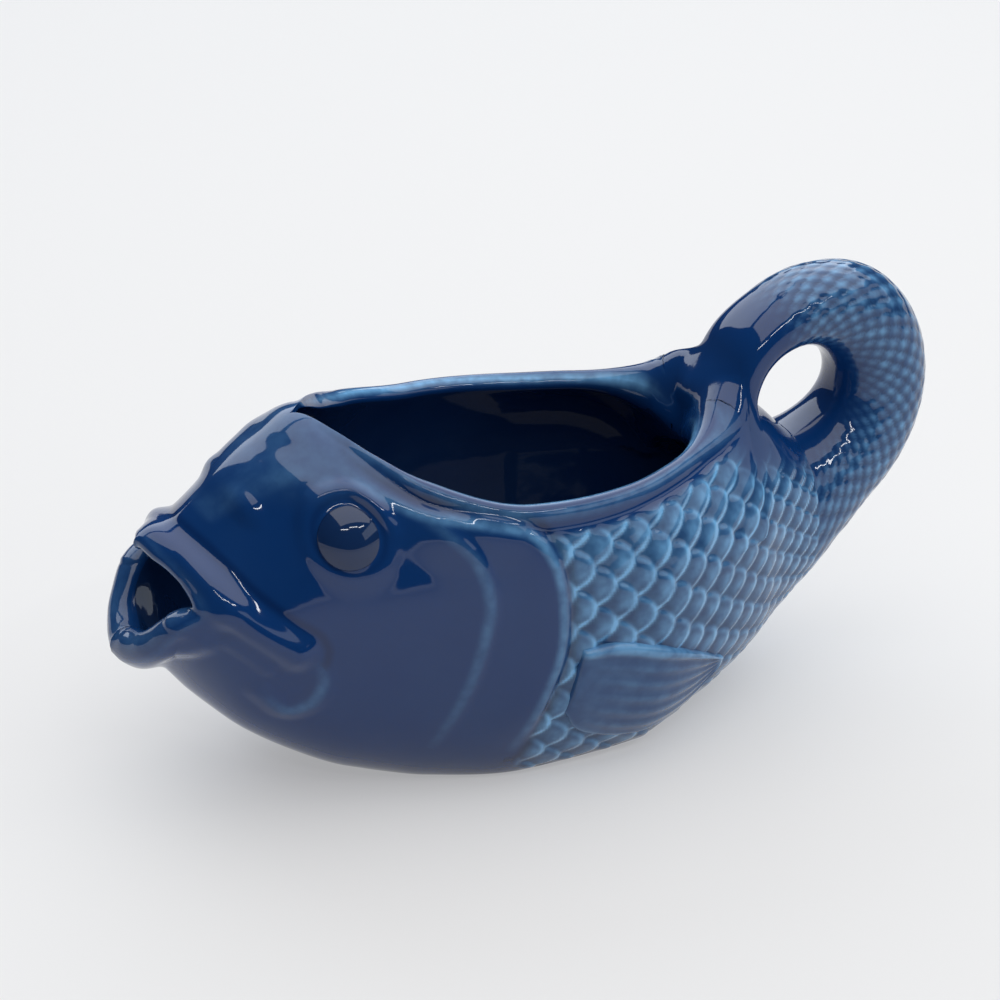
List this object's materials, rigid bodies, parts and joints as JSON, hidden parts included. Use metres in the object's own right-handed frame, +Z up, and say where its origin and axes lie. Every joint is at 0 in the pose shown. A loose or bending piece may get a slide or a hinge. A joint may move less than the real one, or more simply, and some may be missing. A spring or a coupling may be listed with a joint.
{
  "type": "fish-shaped gravy boat",
  "caption": "Fish-shaped glazed ceramic gravy boat: open bowl in the back, open mouth as the pouring spout, curled tail as a finger-loop handle.",
  "frame": {"origin": "on the flat foot's plane, below the middle of the overall box", "axes": "+X from the pouring mouth to the tail, +Z up, Y = 0 is the plane of symmetry, and +Y is the fish's right-hand side"},
  "size_m": [0.2408, 0.1078, 0.1153],
  "materials": {
    "blue_glaze": "glossy translucent glaze, paler where it is thin on raised edges",
    "deep_blue_glaze": "glossy glaze, pooled dark"
  },
  "bodies": {
    "root": {"hull": "blue_glaze", "tail_handle": "blue_glaze", "eye_right": "deep_blue_glaze", "eye_left": "deep_blue_glaze", "pectoral_fin_right": "blue_glaze", "pectoral_fin_left": "blue_glaze"}
  },
  "joints": []
}
